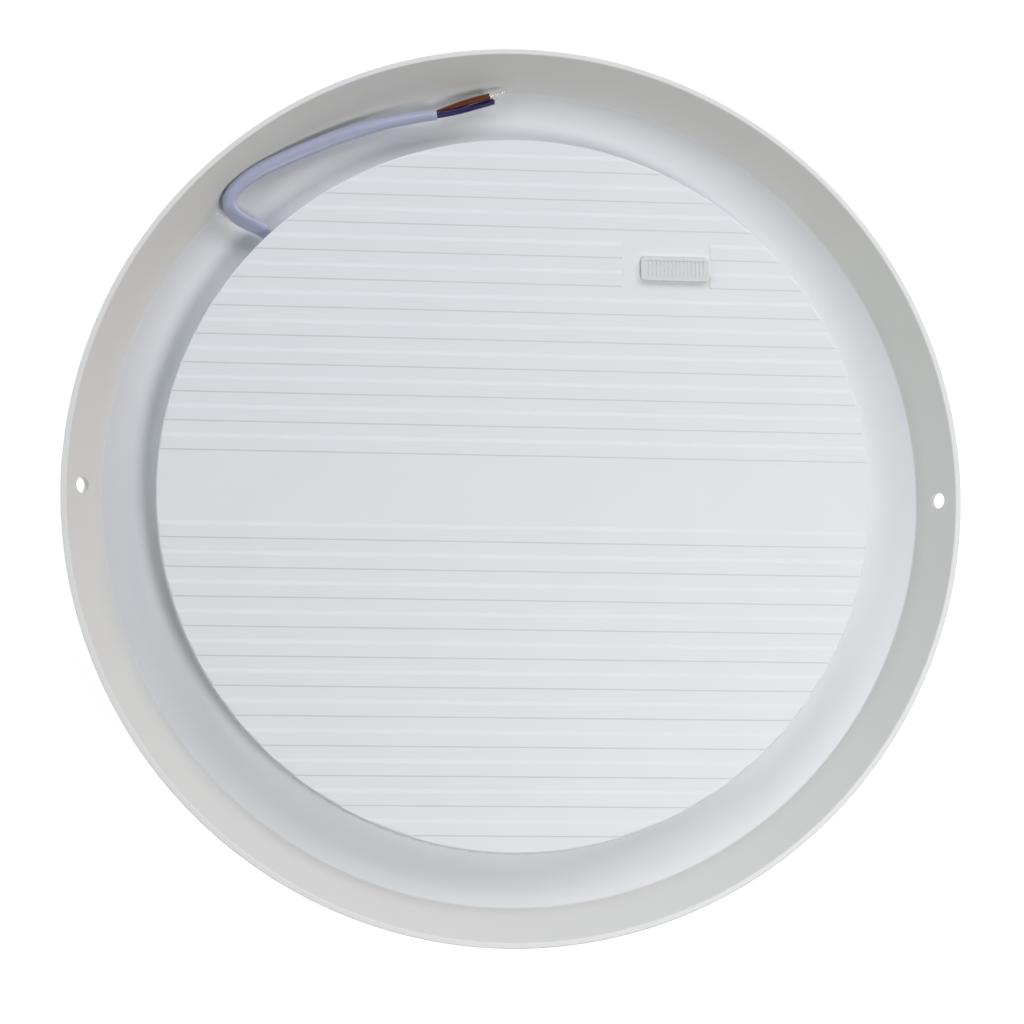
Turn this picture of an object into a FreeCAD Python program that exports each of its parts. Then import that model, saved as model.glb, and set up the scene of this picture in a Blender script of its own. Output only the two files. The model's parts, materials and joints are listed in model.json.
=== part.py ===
import FreeCAD, Part

import math
import os
import re

import Sketcher

# A round LED ceiling light, standing on its opal front with its rear face up.
# Millimetres. +Z points to the ceiling side, the origin is the centre of the front face,
# and the two side screw holes lie on the X axis.

os.makedirs("parts", exist_ok=True)
doc = FreeCAD.newDocument("ceiling_light")

SIZES = {
    # rear housing: flared skirt, flat trough floor and raised drum
    "rim_radius": 150.0,
    "total_height": 34.0,
    "lip_width": 1.7,
    "lip_round": 0.35,
    "wall": 2.0,
    "floor_radius": 137.6,
    "floor_top": 22.5,
    "floor_round": 0.8,
    "drum_radius": 119.2,
    "drum_edge_round": 0.8,
    "drum_foot_round": 0.9,
    "rib_top": 32.3,
    "ceiling_under": 30.6,
    "spigot_radius": 135.0,
    "spigot_wall": 2.0,
    "spigot_foot": 16.5,
    "bead_height": 0.75,
    "bead_middle": 17.8,
    "bead_half_width": 0.5,
    # ribs across the drum's face
    "rib_pitch": 9.67,
    "rib_width": 4.83,
    "rib_height": 0.2,
    "rib_back_slope": 1.3,
    "rib_front_slope": 0.4,
    "rib_count": 11,
    "plain_band": 24.1,
    "groove_reach": 122.0,
    # side screw holes through the skirt
    "side_hole_radius": 2.7,
    "side_hole_reach": 143.3,
    "side_hole_depth": 12.0,
    # selector: pad, slot, knob and travel
    "knob_x": 52.5,
    "knob_y": 76.1,
    "knob_length": 23.2,
    "knob_width": 7.9,
    "knob_thickness": 1.1,
    "knob_gap": 0.15,
    "knob_corner": 1.5,
    "knob_edge_round": 0.22,
    "knob_border": 1.05,
    "field_sink": 0.09,
    "ridge_pitch": 1.33,
    "ridge_gap": 0.62,
    "ridge_depth": 0.22,
    "ridge_count": 15,
    "selector_travel": 5.0,
    "pad_left": 34.5,
    "pad_right": 64.6,
    "stem_length": 4.0,
    "stem_width": 3.0,
    "stem_foot": 27.3,
    "slot_play": 0.3,
    "barb_reach": 2.2,
    "barb_top": 30.3,
    "barb_height": 0.8,
    "socket_play": 0.05,
    "socket_top": 29.1,
    # cord exit, grommet and clamp
    "exit_angle": 134.4,
    "exit_height": 26.4,
    "cord_radius": 2.25,
    "tail_end": 97.0,
    "core_offset": 1.05,
    "grommet_bore": 2.3,
    "grommet_neck": 3.1,
    "grommet_hole": 3.15,
    "grommet_flange": 3.7,
    "grommet_face": 119.0,
    "grommet_seat": 117.0,
    "grommet_back": 115.4,
    "grommet_bevel": 0.5,
    "clamp_reach": 106.0,
    "clamp_screw_offset": 7.5,
    "clamp_length": 21.0,
    "clamp_width": 7.0,
    "clamp_foot": 22.3,
    "clamp_top": 25.8,
    "clamp_post_radius": 3.0,
    "clamp_corner": 1.5,
    # bosses inside the drum
    "gear_boss_radius": 3.5,
    "gear_boss_reach": 108.0,
    "driver_boss_radius": 3.0,
    "pilot_radius": 1.2,
    "pilot_depth": 7.0,
    # diffuser and its seal
    "diffuser_corner": 134.5,
    "diffuser_top": 19.8,
    "diffuser_rim": 138.3,
    "diffuser_shoulder": 9.0,
    "diffuser_inner_shoulder": 7.0,
    "seal_inner": 136.5,
    "seal_outer": 138.0,
    "housing_foot": 20.5,
    # gear plate and light engine
    "plate_radius": 131.5,
    "plate_foot": 17.2,
    "plate_thickness": 0.8,
    "plate_edge_round": 0.25,
    "led_board_inner": 62.0,
    "led_board_outer": 100.0,
    "led_board_thickness": 1.6,
    "led_length": 3.5,
    "led_width": 2.8,
    "led_height": 0.7,
    "led_lens_radius": 1.15,
    "led_lens_height": 0.1,
    "warm_ring": 78.0,
    "cool_ring": 91.0,
    "led_count": 32,
    "led_screw_reach": 84.5,
    "lead_hole_x": 44.0,
    "lead_hole_y": 36.0,
    "lead_hole_radius": 5.0,
    # driver board and the insulation under it
    "board_left": -22.0,
    "board_right": 70.0,
    "board_near": 42.0,
    "board_far": 88.0,
    "board_foot": 19.6,
    "board_thickness": 1.6,
    "board_inset": 5.0,
    "sheet_margin": 2.0,
    "sheet_foot": 18.05,
    "sheet_thickness": 0.3,
    # screws
    "screw_radius": 1.15,
    "screw_clearance": 1.5,
    "screw_head_radius": 2.6,
    "screw_head_height": 1.0,
    "screw_length": 6.0,
    "plate_head_radius": 3.2,
    "plate_head_height": 1.9,
    "recess_radius": 0.9,
    "recess_depth": 0.55,
    # input terminal and plug-in connectors
    "terminal_corner": 0.6,
    "pole_offset": 3.0,
    "well_radius": 1.7,
    "well_depth": 3.0,
    "way_radius": 1.4,
    "way_depth": 5.0,
    "way_height": 3.0,
    "mouth_corner": 0.5,
    "mouth_side": 0.8,
    "mouth_sill": 1.2,
    "mouth_depth": 3.5,
    "led_plug_y": 52.0,
    "led_plug_length": 8.4,
    "led_plug_width": 5.6,
    "led_plug_height": 3.2,
    "led_plug_corner": 0.4,
    "led_plug_depth": 3.0,
    # chips, diode and resistors
    "chip_pin_pitch": 1.27,
    "chip_pin_width": 0.42,
    "chip_pin_reach": 1.05,
    "chip_pin_thickness": 0.25,
    "rectifier_tab_width": 1.2,
    "rectifier_tab_reach": 0.9,
    "diode_tab_width": 1.6,
    "diode_tab_reach": 0.5,
    "tab_thickness": 0.3,
    "resistor_length": 3.2,
    "resistor_width": 1.6,
    "resistor_height": 0.6,
    # capacitors, fuse resistor and varistor
    "film_corner": 0.7,
    "film_edge_round": 0.5,
    "bulk_radius": 4.0,
    "bulk_length": 15.0,
    "output_radius": 3.15,
    "output_length": 11.0,
    "can_foot_bevel": 0.3,
    "can_top_bevel": 0.5,
    "crimp_middle": 1.7,
    "crimp_half_width": 0.5,
    "crimp_depth": 0.35,
    "fuse_length": 10.0,
    "fuse_radius": 1.55,
    "fuse_cap_radius": 1.9,
    "fuse_cap_length": 2.0,
    "fuse_cap_taper": 0.6,
    "fuse_cap_bevel": 0.25,
    "varistor_radius": 3.6,
    "varistor_thickness": 3.4,
    "varistor_round": 0.9,
    # transformer, about its own middle
    "transformer_x": 33.0,
    "transformer_y": 62.0,
    "transformer_z": 25.6,
    "core_length": 14.0,
    "core_width": 13.0,
    "core_thickness": 5.0,
    "core_window_length": 9.0,
    "core_window_width": 3.0,
    "core_window_y": 3.4,
    "core_gap": 0.1,
    "winding_length": 7.0,
    "winding_width": 8.4,
    "winding_height": 8.0,
    "winding_inner_width": 4.8,
    "winding_inner_height": 6.2,
    "bobbin_length": 8.6,
    "bobbin_width": 4.7,
    "bobbin_height": 6.1,
    "bobbin_inner_width": 3.9,
    "bobbin_inner_height": 5.2,
    "flange_width": 9.0,
    "flange_height": 8.6,
    "flange_thickness": 0.7,
    # slide switch on the driver board
    "can_length": 11.6,
    "can_width": 6.6,
    "can_height": 4.6,
    "can_wall": 0.4,
    "base_height": 0.8,
    "base_play": 0.05,
    "slider_length": 4.4,
    "slider_width": 4.9,
    "slider_foot": 22.95,
    "slider_top": 25.2,
    "lever_length": 2.0,
    "lever_width": 1.6,
    "lever_top": 28.9,
    "contact_pitch": 2.5,
    "contact_length": 1.7,
    "contact_width": 0.8,
    "contact_lift": 0.2,
    "pin_radius": 0.3,
    "pin_hole_radius": 0.5,
    "pin_foot": 19.0,
    "wiper_length": 4.0,
    "wiper_width": 0.9,
    "wiper_thickness": 0.6,
    # wires
    "core_radius": 1.0,
    "strand_radius": 0.45,
    "lead_radius": 0.8,
    "lead_pitch": 2.5,
}

# The middle of each simple part on the driver board: x, y, then length, width and height.
BOARD_PARTS = {
    "input_terminal": (-15.0, 61.0, 9.0, 13.0, 8.2),
    "film_capacitor": (12.0, 57.5, 13.0, 5.2, 8.0),
    "bridge_rectifier": (8.0, 70.0, 4.8, 6.2, 2.5),
    "driver_chip": (18.0, 69.5, 4.9, 3.9, 1.5),
    "output_diode": (46.0, 60.0, 4.6, 2.7, 2.2),
    "output_connector": (44.0, 47.0, 10.0, 6.0, 5.6),
}
# Parts that lie along X on the board: the x of the left end, y, and the axis above the board.
LYING_PARTS = {
    "bulk_capacitor": (10.0, 82.5, 4.05),
    "output_capacitor": (52.0, 53.0, 3.2),
    "fuse_resistor": (-4.0, 50.0, 2.0),
    "varistor": (-4.0, 68.5, 3.8),
}
RESISTOR_PLACES = [(-2, 76), (-2, 80), (4, 80), (29, 77), (34, 77), (29, 82), (56, 60), (56, 64)]
for part_name, numbers in BOARD_PARTS.items():
    for word, number in zip(("x", "y", "length", "width", "height"), numbers):
        SIZES[f"{part_name}_{word}"] = number

# Expressions used more than once, written with the sheet's names.
SKIRT_RUN = "(rim_radius - lip_width - floor_radius)"
SKIRT_RISE = "(total_height - floor_top)"
SKIRT_SIDE = f"sqrt({SKIRT_RUN}^2 + {SKIRT_RISE}^2)"
SKIRT_SHIFT = f"(wall * {SKIRT_SIDE} / {SKIRT_RISE})"
SKIRT_BAND_FOOT = f"(floor_top + (rim_radius - floor_radius - {SKIRT_SHIFT}) * {SKIRT_RISE} / {SKIRT_RUN})"
SKIRT_FOOT_DROP = f"((floor_top - housing_foot) * {SKIRT_RUN} / {SKIRT_RISE})"
SKIRT_FOOT_RADIUS = f"(floor_radius + {SKIRT_SHIFT} - {SKIRT_FOOT_DROP})"
SIDE_HOLE_Z = f"(floor_top + (side_hole_reach - floor_radius) * {SKIRT_RISE} / {SKIRT_RUN})"
RIB_FOOT = "(rib_top - rib_height)"
PLATE_TOP = "(plate_foot + plate_thickness)"
LED_BOARD_FOOT = "(plate_foot - led_board_thickness)"
BOARD_TOP = "(board_foot + board_thickness)"
SWITCH_X = "(knob_x - selector_travel / 2)"
LED_PLUG_AXIS = f"({LED_BOARD_FOOT} - led_plug_height / 2)"
EXIT_COS = "cos(exit_angle * 1 deg)"
EXIT_SIN = "sin(exit_angle * 1 deg)"

GEAR_BOSSES = [
    ("gear_boss_reach", "0"),
    ("0", "gear_boss_reach"),
    ("-gear_boss_reach", "0"),
    ("0", "-gear_boss_reach"),
]
DRIVER_BOSSES = [
    ("board_left + board_inset", "board_near + board_inset"),
    ("board_right - board_inset", "board_near + board_inset"),
    ("board_left + board_inset", "board_far - board_inset"),
    ("board_right - board_inset", "board_far - board_inset"),
]
CLAMP_POSTS = [
    (f"clamp_reach * {EXIT_COS} - {side} * clamp_screw_offset * {EXIT_SIN}",
     f"clamp_reach * {EXIT_SIN} + {side} * clamp_screw_offset * {EXIT_COS}")
    for side in (1, -1)
]
LED_BOARD_SCREWS = [
    ("led_screw_reach", "0"),
    ("-led_screw_reach", "0"),
    ("0", "-led_screw_reach"),
]

# The free cord's line from the grommet to the end of its sheath, along its centre.
# It leaves the drum, turns back sharply against the skirt and follows the trough.
CORD_ROUTE = [
    (-83.26, 85.02, 26.4),
    (-86.3, 88.0, 26.5),
    (-90.6, 89.0, 26.8),
    (-94.6, 90.6, 27.2),
    (-97.0, 94.0, 27.5),
    (-97.0, 98.2, 27.6),
    (-94.5, 101.7, 27.6),
    (-88.3, 106.1, 27.2),
    (-80.4, 110.6, 26.6),
    (-70.1, 115.4, 26.2),
    (-58.2, 120.5, 26.3),
    (-43.7, 124.9, 27.0),
    (-28.5, 127.7, 27.6),
]
# The stripped cores and their bare strands go on from the sheath's end.
BROWN_ROUTE = [
    (-28.5, 128.75, 27.6),
    (-22.5, 130.6, 27.4),
    (-16.5, 132.9, 27.0),
    (-10.4, 135.3, 26.5),
]
BLUE_ROUTE = [
    (-28.5, 126.65, 27.6),
    (-22.0, 128.6, 27.3),
    (-15.5, 130.9, 26.8),
    (-8.8, 133.2, 26.3),
]
BROWN_STRANDS = [(-10.4, 135.3, 26.5), (-7.6, 136.4, 26.3), (-4.5, 137.6, 26.2)]
BLUE_STRANDS = [(-8.8, 133.2, 26.3), (-7.0, 134.4, 26.2), (-5.2, 135.9, 26.1)]

TOLERANCE = 0.01
VOLUME_TOLERANCE = 0.02
ARC_SHARE = 0.45


def make_sheet():
    """Write every driving size into one spreadsheet, with its name as the alias."""
    sheet = doc.addObject("Spreadsheet::Sheet", "sizes")
    for row, (name, number) in enumerate(SIZES.items(), 1):
        sheet.set(f"A{row}", name)
        sheet.set(f"B{row}", str(number))
        sheet.setAlias(f"B{row}", name)
    doc.recompute()
    return sheet


def bound(text):
    """The same expression with each size read from the sheet."""
    return re.sub(r"[a-z]\w*", lambda word: f"sizes.{word[0]}" if word[0] in SIZES else word[0], text)


sizes = make_sheet()


def value(text):
    """The number that an expression has now."""
    return float(sizes.evalExpression(bound(text)))


def bind(item, settings):
    """Bind properties to expressions."""
    for name, text in settings.items():
        item.setExpression(name, bound(text))


def new_body(label):
    body = doc.addObject("PartDesign::Body", label)
    body.Label = label
    return body


def origin_item(body, role):
    """One of the body's own origin planes or axes."""
    return next(item for item in body.Origin.OriginFeatures if item.Role == role)


def new_sketch(body, role, height):
    sketch = body.newObject("Sketcher::SketchObject", "outline")
    sketch.AttachmentSupport = [(origin_item(body, role), "")]
    sketch.MapMode = "FlatFace"
    bind(sketch, {"AttachmentOffset.Base.z": height})
    return sketch


def bind_point(sketch, line, end, place):
    """Hold one point of the sketch at a place given by two expressions."""
    for kind, text in zip(("DistanceX", "DistanceY"), place):
        index = sketch.addConstraint(Sketcher.Constraint(kind, -1, 1, line, end, value(text)))
        bind(sketch, {f"Constraints[{index}]": text})


def add_outline(sketch, corners):
    """Add one closed outline of straight lines to a sketch."""
    first = sketch.GeometryCount
    points = [FreeCAD.Vector(value(u), value(v), 0) for u, v in corners]
    for start, end in zip(points, points[1:] + points[:1]):
        sketch.addGeometry(Part.LineSegment(start, end))
    for step, place in enumerate(corners):
        following = first + (step + 1) % len(corners)
        sketch.addConstraint(Sketcher.Constraint("Coincident", first + step, 2, following, 1))
        bind_point(sketch, first + step, 1, place)


def outlines(body, role, loops, height="0"):
    sketch = new_sketch(body, role, height)
    for corners in loops:
        add_outline(sketch, corners)
    return sketch


def circles(body, role, centres, radii, height="0"):
    """A sketch of circles: one of each radius at each centre."""
    sketch = new_sketch(body, role, height)
    for place in centres:
        for radius in radii:
            centre = FreeCAD.Vector(value(place[0]), value(place[1]), 0)
            circle = Part.Circle(centre, FreeCAD.Vector(0, 0, 1), value(radius))
            line = sketch.addGeometry(circle)
            index = sketch.addConstraint(Sketcher.Constraint("Radius", line, value(radius)))
            bind(sketch, {f"Constraints[{index}]": radius})
            bind_point(sketch, line, 3, place)
    return sketch


def rectangle(left, near, right, far):
    return [(left, near), (right, near), (right, far), (left, far)]


def centred(x, y, length, width):
    """A rectangle about a middle point."""
    return rectangle(f"{x} - {length} / 2", f"{y} - {width} / 2",
                     f"{x} + {length} / 2", f"{y} + {width} / 2")


def grow(body, sketch, length, downward=False):
    """Pad a sketch, and check that it added material."""
    before = body.Shape.Volume if body.Tip else 0
    pad = body.newObject("PartDesign::Pad", "pad")
    pad.Profile = sketch
    pad.Reversed = downward
    bind(pad, {"Length": length})
    doc.recompute()
    if body.Shape.Volume <= before:
        raise RuntimeError(f"a pad added nothing to {body.Label}")
    return pad


def cut(body, sketch, length, upward=False, both_ways=False):
    """Pocket a sketch, and check that it removed material."""
    before = body.Shape.Volume
    pocket = body.newObject("PartDesign::Pocket", "pocket")
    pocket.Profile = sketch
    pocket.SideType = "Symmetric" if both_ways else "One side"
    pocket.Reversed = upward
    bind(pocket, {"Length": length})
    doc.recompute()
    if body.Shape.Volume >= before:
        raise RuntimeError(f"a pocket removed nothing from {body.Label}")
    return pocket


def turned(body, corners):
    """Revolve a half section, given as radius and height, about Z."""
    revolution = body.newObject("PartDesign::Revolution", "turned")
    sketch = outlines(body, "XZ_Plane", [corners])
    revolution.Profile = sketch
    revolution.ReferenceAxis = (sketch, ["V_Axis"])
    revolution.Angle = 360
    doc.recompute()
    return revolution


def ring_edges(shape, radius, height):
    """Names of the round edges of one radius at one height."""
    names = []
    for number, edge in enumerate(shape.Edges, 1):
        curve = edge.Curve
        if not isinstance(curve, Part.Circle):
            continue
        if abs(curve.Radius - radius) < TOLERANCE and abs(curve.Center.z - height) < TOLERANCE:
            names.append(f"Edge{number}")
    return names


def edges_where(shape, test):
    """Names of the edges whose middle point passes a test."""
    names = []
    for number, edge in enumerate(shape.Edges, 1):
        middle = edge.valueAt((edge.FirstParameter + edge.LastParameter) / 2)
        if test(middle, edge):
            names.append(f"Edge{number}")
    return names


def round_over(body, names, radius):
    if not names:
        raise RuntimeError(f"no edge to round on {body.Label}")
    base = body.Tip
    fillet = body.newObject("PartDesign::Fillet", "fillet")
    fillet.Base = (base, names)
    bind(fillet, {"Radius": radius})
    doc.recompute()
    return fillet


def is_upright(edge):
    """True of a straight edge along Z."""
    return edge.BoundBox.ZLength > TOLERANCE > max(edge.BoundBox.XLength, edge.BoundBox.YLength)


def round_uprights(body, radius):
    round_over(body, edges_where(body.Shape, lambda middle, edge: is_upright(edge)), radius)


def block(label, loops, foot, height):
    """A body made by padding closed outlines upward from a height."""
    body = new_body(label)
    grow(body, outlines(body, "XY_Plane", loops, foot), height)
    return body


# ---------------------------------------------------------------- rear housing

def groove_profile(near, far):
    """Section across a low strip of the drum's face: gentle at its near side, steep at its far one."""
    return [
        (f"{near} - rib_back_slope / 2", "rib_top + 1"),
        (f"{near} - rib_back_slope / 2", "rib_top"),
        (f"{near} + rib_back_slope / 2", RIB_FOOT),
        (f"{far} - rib_front_slope / 2", RIB_FOOT),
        (f"{far} + rib_front_slope / 2", "rib_top"),
        (f"{far} + rib_front_slope / 2", "rib_top + 1"),
    ]


def cut_strips(body, strips):
    """Cut low strips right across the drum's face."""
    profiles = [groove_profile(near, far) for near, far in strips]
    return cut(body, outlines(body, "YZ_Plane", profiles), "2 * groove_reach", both_ways=True)


def cut_ribs(body):
    """Leave two groups of raised ribs, with a plain band between them."""
    first_far = "(plain_band / 2 + rib_pitch)"
    last = "(plain_band / 2 + rib_width + rib_pitch * (rib_count - 1))"
    cut_strips(body, [
        ("-plain_band / 2", "plain_band / 2"),
        (last, "groove_reach"),
        ("-groove_reach", f"-{last}"),
    ])
    for side in (1, -1):
        near = "(plain_band / 2 + rib_width)"
        strip = (near, first_far) if side > 0 else (f"-{first_far}", f"-{near}")
        pocket = cut_strips(body, [strip])
        pattern = body.newObject("PartDesign::LinearPattern", "strips")
        pattern.Originals = [pocket]
        pattern.Direction = (origin_item(body, "Y_Axis"), [""])
        pattern.Reversed = side < 0
        bind(pattern, {"Length": "rib_pitch * (rib_count - 2)", "Occurrences": "rib_count - 1"})
        body.Tip = pattern
        doc.recompute()


def cut_selector_window(body):
    """Clear the ribs round the knob, and cut the slot for its stem."""
    half_pad = "rib_pitch"
    clearing = rectangle("pad_left", f"knob_y - {half_pad}", "pad_right", f"knob_y + {half_pad}")
    cut(body, outlines(body, "XY_Plane", [clearing], "rib_top"), "rib_height")
    slot = centred(SWITCH_X, "knob_y",
                   "(stem_length + selector_travel + 2 * slot_play)", "(stem_width + 2 * slot_play)")
    cut(body, outlines(body, "XY_Plane", [slot], "rib_top"), "wall + rib_height")


def drill(body, place, turn, radius, depth):
    """Cut a round hole both ways from a place, along the turned sketch's normal."""
    x, y, height = place
    sketch = circles(body, "XY_Plane", [("0", "0")], [radius], height)
    sketch.AttachmentOffset = FreeCAD.Placement(FreeCAD.Vector(), turn)
    bind(sketch, {"AttachmentOffset.Base.x": x, "AttachmentOffset.Base.y": y})
    cut(body, sketch, depth, both_ways=True)


def cut_side_holes(body):
    """Drill the skirt square to its wall, once on each side."""
    lean = math.degrees(math.atan2(value(SKIRT_RISE), value(SKIRT_RUN)))
    for side in (1, -1):
        turn = FreeCAD.Rotation(FreeCAD.Vector(0, 1, 0), -side * lean)
        place = (f"{side} * side_hole_reach", "0", SIDE_HOLE_Z)
        drill(body, place, turn, "side_hole_radius", "side_hole_depth")


def cut_cord_hole(body):
    """Drill the drum's side wall for the grommet."""
    outward = FreeCAD.Vector(value(EXIT_COS), value(EXIT_SIN), 0)
    turn = FreeCAD.Rotation(FreeCAD.Vector(0, 0, 1), outward)
    place = (f"drum_radius * {EXIT_COS}", f"drum_radius * {EXIT_SIN}", "exit_height")
    drill(body, place, turn, "grommet_hole", "3 * wall")


def add_bosses(body):
    """Screw bosses that hang from the drum's ceiling, each with its pilot hole."""
    groups = [
        (GEAR_BOSSES, "gear_boss_radius", PLATE_TOP, "pilot_depth"),
        (DRIVER_BOSSES, "driver_boss_radius", BOARD_TOP, "pilot_depth"),
        (CLAMP_POSTS, "clamp_post_radius", "clamp_top", "ceiling_under - clamp_top"),
    ]
    for centres, radius, foot, depth in groups:
        height = f"ceiling_under + wall / 2 - {foot}"
        grow(body, circles(body, "XY_Plane", centres, [radius], foot), height)
        cut(body, circles(body, "XY_Plane", centres, ["pilot_radius"], foot), depth, upward=True)


def round_rings(body, rounds):
    """Round over circular edges, each given by its radius, height and rounding."""
    for radius, height, amount in rounds:
        round_over(body, ring_edges(body.Shape, value(radius), value(height)), amount)


def make_drum(body):
    """The drum and the floor round it, which are ribbed before the skirt is there to be cut."""
    inner_drum = "drum_radius - wall"
    turned(body, [
        ("0", "rib_top"),
        ("drum_radius", "rib_top"),
        ("drum_radius", "floor_top"),
        ("spigot_radius - spigot_wall", "floor_top"),
        ("spigot_radius - spigot_wall", "housing_foot"),
        (inner_drum, "housing_foot"),
        (inner_drum, "ceiling_under"),
        ("0", "ceiling_under"),
    ])
    round_rings(body, [
        ("drum_radius", "rib_top", "drum_edge_round"),
        ("drum_radius", "floor_top", "drum_foot_round"),
    ])
    cut_ribs(body)
    cut_selector_window(body)


def add_skirt(body):
    """The outer floor, the flared skirt with its lip, and the spigot that the diffuser snaps over."""
    bead_top = "bead_middle + bead_half_width / 2"
    bead_foot = "bead_middle - bead_half_width / 2"
    turned(body, [
        ("spigot_radius - spigot_wall", "floor_top"),
        ("floor_radius", "floor_top"),
        ("rim_radius - lip_width", "total_height"),
        ("rim_radius", "total_height"),
        ("rim_radius", SKIRT_BAND_FOOT),
        (SKIRT_FOOT_RADIUS, "housing_foot"),
        ("spigot_radius", "housing_foot"),
        ("spigot_radius", f"{bead_top} + bead_half_width / 2 + bead_height / 2"),
        ("spigot_radius + bead_height", bead_top),
        ("spigot_radius + bead_height", bead_foot),
        ("spigot_radius", f"{bead_foot} - bead_half_width / 2 - bead_height / 2"),
        ("spigot_radius", "spigot_foot"),
        ("spigot_radius - spigot_wall", "spigot_foot"),
    ])
    round_rings(body, [
        ("floor_radius", "floor_top", "floor_round"),
        ("rim_radius - lip_width", "total_height", "lip_round"),
        ("rim_radius", "total_height", "lip_round"),
    ])


def make_rear_housing():
    body = new_body("rear_housing")
    make_drum(body)
    add_skirt(body)
    cut_side_holes(body)
    cut_cord_hole(body)
    add_bosses(body)


# ------------------------------------------------------ diffuser, seal and light engine

def make_diffuser():
    body = new_body("diffuser")
    slope = "(diffuser_rim - diffuser_corner) / diffuser_top"
    turned(body, [
        ("0", "0"),
        ("diffuser_corner", "0"),
        ("diffuser_rim", "diffuser_top"),
        ("diffuser_rim - wall", "diffuser_top"),
        (f"diffuser_corner - wall + wall * {slope}", "wall"),
        ("0", "wall"),
    ])
    outer = value("diffuser_corner")
    inner = value(f"diffuser_corner - wall + wall * {slope}")
    round_over(body, ring_edges(body.Shape, outer, 0), "diffuser_shoulder")
    round_over(body, ring_edges(body.Shape, inner, value("wall")), "diffuser_inner_shoulder")


def make_seal():
    body = new_body("diffuser_seal")
    sketch = circles(body, "XY_Plane", [("0", "0")], ["seal_inner", "seal_outer"], "diffuser_top")
    grow(body, sketch, "housing_foot - diffuser_top")


def make_gear_plate():
    body = new_body("gear_plate")
    grow(body, circles(body, "XY_Plane", [("0", "0")], ["plate_radius"], "plate_foot"), "plate_thickness")
    holes = circles(body, "XY_Plane", GEAR_BOSSES, ["screw_clearance"], "plate_foot")
    cut(body, holes, "plate_thickness", upward=True)
    place = ("lead_hole_x", "lead_hole_y")
    holes = circles(body, "XY_Plane", [place], ["lead_hole_radius"], "plate_foot")
    cut(body, holes, "plate_thickness", upward=True)
    holes = circles(body, "XY_Plane", LED_BOARD_SCREWS, ["screw_radius"], "plate_foot")
    cut(body, holes, "plate_thickness", upward=True)
    foot = value("plate_foot")
    round_over(body, ring_edges(body.Shape, value("plate_radius"), foot), "plate_edge_round")


def make_led_board():
    body = new_body("led_board")
    rings = circles(body, "XY_Plane", [("0", "0")], ["led_board_inner", "led_board_outer"], LED_BOARD_FOOT)
    grow(body, rings, "led_board_thickness")
    holes = circles(body, "XY_Plane", LED_BOARD_SCREWS, ["screw_clearance"], LED_BOARD_FOOT)
    cut(body, holes, "led_board_thickness", upward=True)


def make_leds(label, ring, first_angle):
    """One ring of LED packages, each with its phosphor window, facing the front."""
    body = new_body(label)
    package = centred(ring, "0", "led_width", "led_length")
    pad = grow(body, outlines(body, "XY_Plane", [package], LED_BOARD_FOOT), "led_height", downward=True)
    face = f"{LED_BOARD_FOOT} - led_height"
    window_sketch = circles(body, "XY_Plane", [(ring, "0")], ["led_lens_radius"], face)
    window = grow(body, window_sketch, "led_lens_height", downward=True)
    pattern = body.newObject("PartDesign::PolarPattern", "ring")
    pattern.Originals = [pad, window]
    pattern.Axis = (origin_item(body, "Z_Axis"), [""])
    pattern.Angle = 360
    bind(pattern, {"Occurrences": "led_count"})
    body.Tip = pattern
    body.Placement.Rotation = FreeCAD.Rotation(FreeCAD.Vector(0, 0, 1), first_angle)
    doc.recompute()


def make_screws(label, centres, seat, head_radius, head_height, length):
    """Screws driven upward: heads below the seat, shanks above it, a recess in each head."""
    body = new_body(label)
    grow(body, circles(body, "XY_Plane", centres, [head_radius], seat), head_height, downward=True)
    foot = f"{seat} - {head_height}"
    names = ring_edges(body.Shape, value(head_radius), value(foot))
    round_over(body, names, f"{head_height} / 2")
    grow(body, circles(body, "XY_Plane", centres, ["screw_radius"], seat), length)
    cut(body, circles(body, "XY_Plane", centres, ["recess_radius"], foot), "recess_depth", upward=True)


# ------------------------------------------------------------------ driver board

def make_driver_board():
    outline = rectangle("board_left", "board_near", "board_right", "board_far")
    body = block("driver_board", [outline], "board_foot", "board_thickness")
    round_uprights(body, "board_thickness")
    holes = circles(body, "XY_Plane", DRIVER_BOSSES, ["screw_clearance"], "board_foot")
    cut(body, holes, "board_thickness", upward=True)
    pins = circles(body, "XY_Plane", switch_pins(), ["pin_hole_radius"], "board_foot")
    cut(body, pins, "board_thickness", upward=True)


def make_insulation_sheet():
    outline = rectangle("board_left - sheet_margin", "board_near - sheet_margin",
                        "board_right + sheet_margin", "board_far + sheet_margin")
    body = block("insulation_sheet", [outline], "sheet_foot", "sheet_thickness")
    round_uprights(body, "board_inset")


def board_block(label, corner_round=None):
    """One of the simple parts listed in BOARD_PARTS, standing on the board."""
    outline = centred(f"{label}_x", f"{label}_y", f"{label}_length", f"{label}_width")
    body = block(label, [outline], BOARD_TOP, f"{label}_height")
    if corner_round:
        round_uprights(body, corner_round)
    return body


def make_input_terminal():
    """Two-pole terminal block: wire ways on its left, screw wells on top."""
    body = board_block("input_terminal", "terminal_corner")
    poles = [f"input_terminal_y + {side} * pole_offset" for side in (-1, 1)]
    wells = [("input_terminal_x", pole) for pole in poles]
    top = f"{BOARD_TOP} + input_terminal_height"
    cut(body, circles(body, "XY_Plane", wells, ["well_radius"], top), "well_depth")
    ways = [(pole, f"{BOARD_TOP} + way_height") for pole in poles]
    face = "input_terminal_x - input_terminal_length / 2"
    cut(body, circles(body, "YZ_Plane", ways, ["way_radius"], face), "way_depth", upward=True)


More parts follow.
